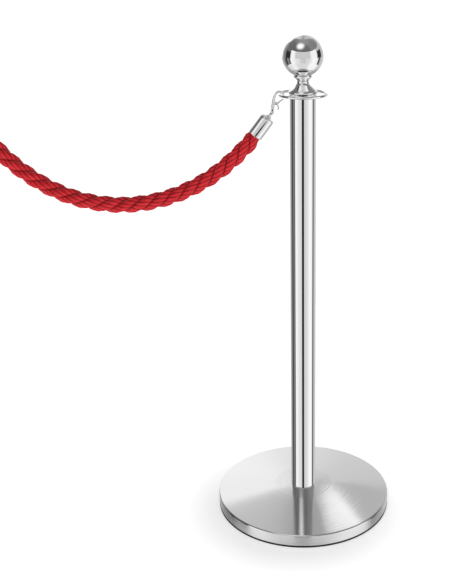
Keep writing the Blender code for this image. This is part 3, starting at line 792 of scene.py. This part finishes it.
# Brightness round the studio, by azimuth in degrees: 0 is behind the camera, 90 to its right.
# The floor lies below the sweep, the sweep below the horizon, the walls reach the ceiling's edge, and
# the ceiling is above them.
SWEEP = [
    (-180, 0.35), (-158, 0.45), (-150, 0.60), (-140, 0.40), (-122, 0.22), (-113, 0.16), (-110, 0.03),
    (-99, 0.03), (-97, 0.24), (-87, 0.24), (-84, 0.12), (-75, 0.12), (-73, 1.00), (-58, 0.97), (-40, 0.84),
    (-12, 0.72), (-8, 0.03), (7, 0.03), (11, 0.66), (38, 0.76), (62, 1.02), (80, 0.98),
    (94, 0.80), (97, 0.03), (107, 0.03), (110, 0.42), (140, 0.66), (150, 0.75), (158, 0.40), (180, 0.35),
]
WALLS = [
    (-180, 0.90), (-172, 1.10), (-150, 1.10), (-140, 0.40), (-110, 0.16), (-75, 0.13), (-71, 0.95),
    (-48, 0.95), (-40, 0.62), (40, 0.62), (48, 0.95), (80, 0.95), (90, 0.50), (122, 0.50),
    (150, 0.62), (172, 0.72), (180, 0.90),
]
CEILING = [
    (-180, 0.36), (-172, 0.58), (-157, 0.70), (-148, 0.26), (-125, 0.16), (-60, 0.13), (-52, 0.14),
    (-48, 0.14), (48, 0.16), (52, 0.22), (125, 0.22), (148, 0.30), (157, 0.60), (172, 0.50), (180, 0.36),
]
FLOOR = [
    (-180, 0.28), (-140, 0.33), (-105, 0.75), (-60, 0.95), (-30, 0.72), (30, 0.74), (50, 1.00),
    (100, 0.95), (115, 0.75), (145, 0.33), (180, 0.28),
]
# Brightness overhead and underfoot, and the elevations at which one part of the studio meets the next.
ZENITH = 0.28
NADIR = 0.03
ZENITH_EDGE = 66
CEILING_EDGE = 29
HORIZON = -8
FLOOR_EDGE = -32.7
NADIR_EDGE = -69

# Patches of the studio: azimuths, elevations, how soft their edges are, and brightness.
PATCHES = [
    ((-179, -140), (25, 36), 2, 1.05),
    ((-66, 66), (29, 31.5), 1, 0.03),
    ((-106, -72), (HORIZON, 18), 1.5, 0.03),
    ((87, 119), (HORIZON, 18), 1.5, 0.03),
]

# A round softbox over the camera's left shoulder.
SOFTBOX_AZIMUTH, SOFTBOX_ELEVATION = -24, 60
SOFTBOX_REACH = 31
SOFTBOX_BRIGHTNESS = 1.1

# A lit card behind the base on the right: its corners, metres.
CARD = [(0.127, 0.726, 0.40), (0.127, 0.726, 1.05), (0.40, 0.726, 1.05)]
CARD_BRIGHTNESS = 1.15

# The fill that only the ball sees, far out in front of it.
FILL_AZIMUTHS = (-10, 9)
FILL_DISTANCE = 40.0
FILL_BRIGHTNESS = 0.61

# White paper all round. The floor's own glow is dimmer close to the base, which paints a shadow round it:
# its brightness near and far.
FLOOR_RADIUS = 60.0
FLOOR_GLOW = (0.50, 0.72)
PAINTED_SHADOW_CENTRE = (-0.018, -0.034, 0)
PAINTED_SHADOW_RADII = (0.17, 0.26)
BACKDROP_RADIUS = 58.0


def direction(azimuth, elevation):
    """The unit vector towards a place in the studio."""
    a, e = math.radians(azimuth), math.radians(elevation)
    return Vector((math.sin(a) * math.cos(e), -math.cos(a) * math.cos(e), math.sin(e)))


class Sky(Recipe):
    """The world's node tree, which gives the studio's brightness in each direction."""

    def __init__(self):
        world = bpy.data.worlds.new("studio")
        bpy.context.scene.world = world
        world.use_nodes = True
        self.tree = world.node_tree
        self.shader = self.tree.nodes["Background"]
        self.direction = self.coordinates("Generated")
        split = self.node("ShaderNodeSeparateXYZ")
        self.link(self.direction, split.inputs[0])
        backward = self.math("MULTIPLY", split.outputs[1], -1.0)
        turn = self.math("ARCTAN2", split.outputs[0], backward)
        self.azimuth = self.math("MULTIPLY_ADD", turn, 1 / (2 * math.pi))
        self.azimuth.node.inputs[2].default_value = 0.5
        rise = self.math("ARCSINE", split.outputs[2])
        self.elevation = self.math("MULTIPLY", rise, 2 / math.pi)

    def round_the_room(self, stops):
        """Brightness by azimuth, from (degrees, brightness) stops."""
        made = self.node("ShaderNodeValToRGB")
        self.link(self.azimuth, made.inputs[0])
        elements = made.color_ramp.elements
        while len(elements) < len(stops):
            elements.new(0.5)
        for element, (degrees, value) in zip(elements, stops):
            element.position = 0.5 + degrees / 360
            element.color = (value, value, value, 1)
        return made.outputs[0]

    def glow(self, aim, reach):
        """A factor that is 1 in the direction aimed at and falls to 0 at that many degrees from it."""
        dot = self.node("ShaderNodeVectorMath", operation="DOT_PRODUCT")
        self.link(self.direction, dot.inputs[0])
        dot.inputs[1].default_value = aim
        made = self.node("ShaderNodeMapRange", interpolation_type="SMOOTHSTEP")
        made.inputs["From Min"].default_value = math.cos(math.radians(reach))
        self.link(dot.outputs["Value"], made.inputs["Value"])
        return made.outputs["Result"]

    def window(self, azimuths, elevations, soft):
        """A factor that is 1 between two azimuths and two elevations, its edges soft by that angle."""
        whole = 1.0
        spans = ((self.azimuth, azimuths, 360, 0.5), (self.elevation, elevations, 90, 0.0))
        for socket, (low, high), turn, offset in spans:
            starts, ends = [(offset + (a - soft) / turn, offset + (a + soft) / turn) for a in (low, high)]
            whole = self.math("MULTIPLY", self.spread(socket, 0, 1, *starts), whole)
            whole = self.math("MULTIPLY", self.spread(socket, 1, 0, *ends), whole)
        return whole

    def above(self, level, soft):
        """A factor that is 1 above an elevation, its edge soft by that angle."""
        return self.spread(self.elevation, 0, 1, (level - soft) / 90, (level + soft) / 90)


def grey(value):
    return (value, value, value)


def make_studio():
    sky = Sky()
    floor, sweep, walls, ceiling = [sky.round_the_room(stops) for stops in (FLOOR, SWEEP, WALLS, CEILING)]
    light = sky.blend(sky.above(NADIR_EDGE, 5), grey(NADIR), floor)
    light = sky.blend(sky.above(FLOOR_EDGE, 0.5), light, sweep)
    light = sky.blend(sky.above(HORIZON, 1.5), light, walls)
    light = sky.blend(sky.above(CEILING_EDGE, 1), light, ceiling)
    light = sky.blend(sky.above(ZENITH_EDGE, 10), light, grey(ZENITH))
    for azimuths, elevations, soft, value in PATCHES:
        light = sky.blend(sky.window(azimuths, elevations, soft), light, grey(value))
    softbox = sky.math("POWER", sky.glow(direction(SOFTBOX_AZIMUTH, SOFTBOX_ELEVATION), SOFTBOX_REACH), 3)
    light = sky.blend(softbox, light, grey(SOFTBOX_BRIGHTNESS))
    sky.link(light, sky.shader.inputs["Color"])


def lit_sheet(name, mesh, brightness, hidden_from):
    """A sheet that gives off white light of its own, and that some kinds of ray don't see."""
    sheet = bpy.data.objects.new(name, mesh)
    bpy.context.scene.collection.objects.link(sheet)
    made = Recipe(name + "_light")
    made.set(Base_Color=(0, 0, 0, 1), Emission_Color=(1, 1, 1, 1), Emission_Strength=brightness)
    mesh.materials.append(made.material)
    for ray in hidden_from:
        setattr(sheet, "visible_" + ray, False)
    return sheet


def make_card():
    """A lit card that only mirrors see; the brushed cover draws it out into a bright fan."""
    mesh = bpy.data.meshes.new("card")
    mesh.from_pydata(CARD, [], [(0, 1, 2)])
    lit_sheet("card", mesh, CARD_BRIGHTNESS, ("camera", "diffuse", "shadow", "transmission"))


def make_fill(ball):
    """The gap between the lights draws the line down the tube's middle. The ball alone sees it filled."""
    left, right = FILL_AZIMUTHS
    aims = ((left, FLOOR_EDGE), (right, FLOOR_EDGE), (right, HORIZON), (left, HORIZON))
    corners = [Vector((0, 0, BALL_CENTRE)) + FILL_DISTANCE * direction(*aim) for aim in aims]
    mesh = bpy.data.meshes.new("fill")
    mesh.from_pydata(corners, [], [(0, 1, 2, 3)])
    fill = lit_sheet("fill", mesh, FILL_BRIGHTNESS, ("camera", "diffuse", "shadow", "transmission"))
    fill.light_linking.receiver_collection = bpy.data.collections.new("lit_by_fill")
    fill.light_linking.receiver_collection.objects.link(ball)


def make_backdrop():
    """A white dome that only the camera sees, so that a low view looks out on white paper too."""
    bm = bmesh.new()
    bmesh.ops.create_uvsphere(bm, u_segments=48, v_segments=24, radius=BACKDROP_RADIUS)
    lit_sheet("backdrop", mesh_from(bm, "backdrop"), 1.0, ("diffuse", "glossy", "shadow", "transmission"))


def make_floor():
    """A white floor. Its own glow keeps it paper-white, dimmed close to the base into a painted shadow, and
    the polished metal doesn't mirror it.
    """
    bm = bmesh.new()
    bmesh.ops.create_circle(bm, cap_ends=True, radius=FLOOR_RADIUS, segments=96)
    floor = bpy.data.objects.new("floor", mesh_from(bm, "floor"))
    bpy.context.scene.collection.objects.link(floor)
    made = Recipe("floor_white")
    made.set(Base_Color=(*grey(0.9), 1), Roughness=1.0, Emission_Color=(1, 1, 1, 1), Specular_IOR_Level=0.0)
    away = made.node("ShaderNodeVectorMath", operation="DISTANCE")
    made.link(made.coordinates(), away.inputs[0])
    away.inputs[1].default_value = PAINTED_SHADOW_CENTRE
    # Painted shadow: the glow is dimmer close to the base, round the painted shadow's centre.
    glow = made.spread(away.outputs["Value"], *FLOOR_GLOW, *PAINTED_SHADOW_RADII)
    made.link(glow, made.shader.inputs["Emission Strength"])
    floor.data.materials.append(made.material)
    floor.visible_glossy = False


def main():
    bpy.context.scene.view_settings.view_transform = "Standard"
    make_camera()
    fibre = rope_fibre()
    polished = polished_steel()
    plated = plated_steel()
    rope, route = make_rope(fibre)
    make_rope_ends(polished, satin_steel(), plated, fibre)
    make_post(polished, brushed_steel(), rubber())
    make_rope_ring(polished)
    ball = make_finial(polished)
    repaint("base_weight", cast_iron())
    for node in ("base_washer", "base_bolt", "tube_foot_plug", "tube_top_plug", "finial_stud"):
        repaint(node, plated)
    make_floor()
    make_studio()
    make_card()
    make_fill(ball)
    make_backdrop()


main()
